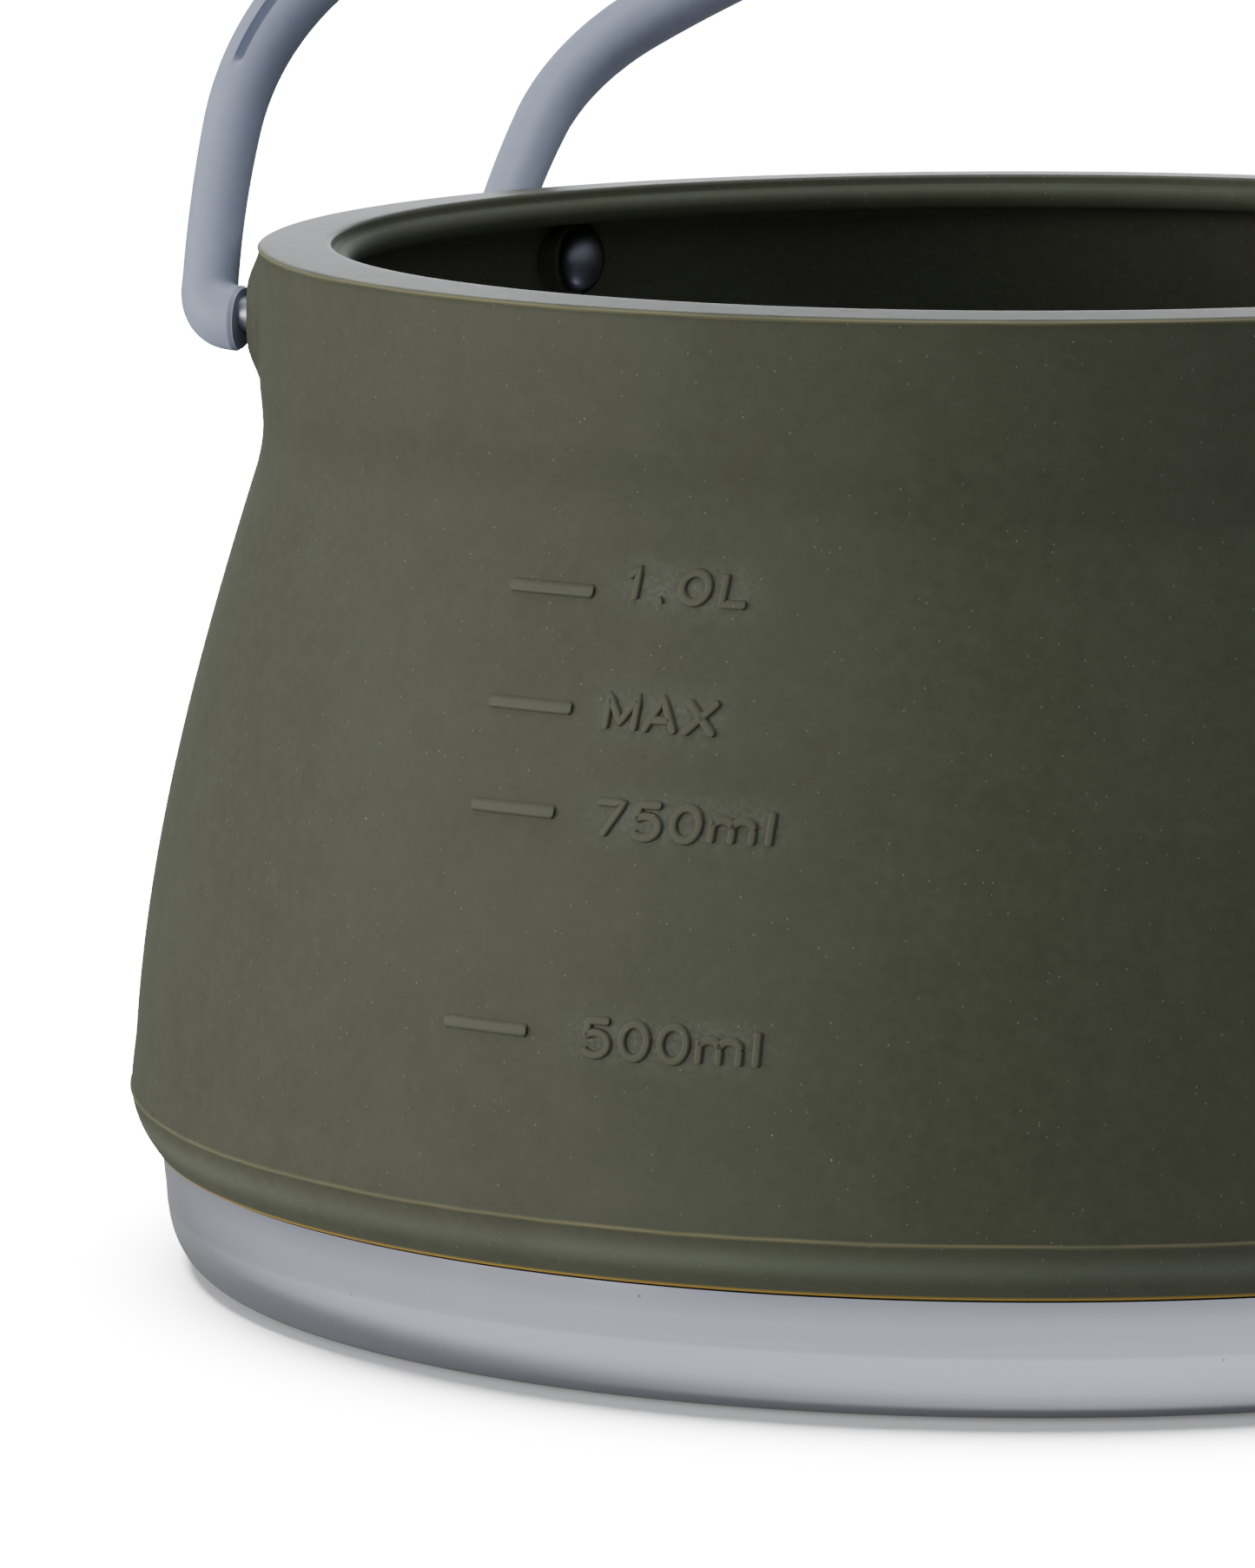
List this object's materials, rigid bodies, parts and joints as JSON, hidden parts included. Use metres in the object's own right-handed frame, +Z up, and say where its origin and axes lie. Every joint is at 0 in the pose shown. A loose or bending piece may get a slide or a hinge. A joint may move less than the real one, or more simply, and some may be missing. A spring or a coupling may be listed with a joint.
{
  "type": "collapsible kettle",
  "caption": "Collapsible camping kettle: round steel pan, folding silicone body with a pouring spout, and swinging wire bow handles in grey sleeves; stands raised and open.",
  "frame": {"origin": "centre of the flat bottom, on the kettle's axis, at the surface it stands on", "axes": "+Z up along the kettle's axis, +X out of the spout and along both handles' hinges, +Y to the left side"},
  "size_m": [0.1579, 0.1526, 0.1371],
  "materials": {
    "pan_steel": "satin, drawn sheet",
    "wire_steel": "drawn wire",
    "olive_silicone": "matte olive",
    "grey_silicone": "matte light grey"
  },
  "bodies": {
    "base": {"base_pan": "pan_steel", "base_skirt": "olive_silicone", "folding_wall": "olive_silicone"},
    "collar": {"spout_collar": "olive_silicone"},
    "left_handle": {"handle_wire_left": "wire_steel", "handle_sleeve_left": "grey_silicone", "pivot_cap_front_left": "wire_steel", "pivot_cap_rear_left": "wire_steel"},
    "right_handle": {"handle_wire_right": "wire_steel", "handle_sleeve_right": "grey_silicone", "pivot_cap_front_right": "wire_steel", "pivot_cap_rear_right": "wire_steel"}
  },
  "joints": [
    {"name": "body_collapse", "type": "slide", "parent": "base", "child": "collar", "axis": [0, 0, -1], "range_m": [0, 0.046], "deforming": ["folding_wall"]},
    {"name": "left_handle_hinge", "type": "hinge", "parent": "collar", "child": "left_handle", "pos_m": [0, 0.0266, 0.0804], "axis": [-1, 0, 0], "range_deg": [-66, 39]},
    {"name": "right_handle_hinge", "type": "hinge", "parent": "collar", "child": "right_handle", "pos_m": [0, -0.0266, 0.0804], "axis": [1, 0, 0], "range_deg": [-2.1, 116.9]}
  ]
}
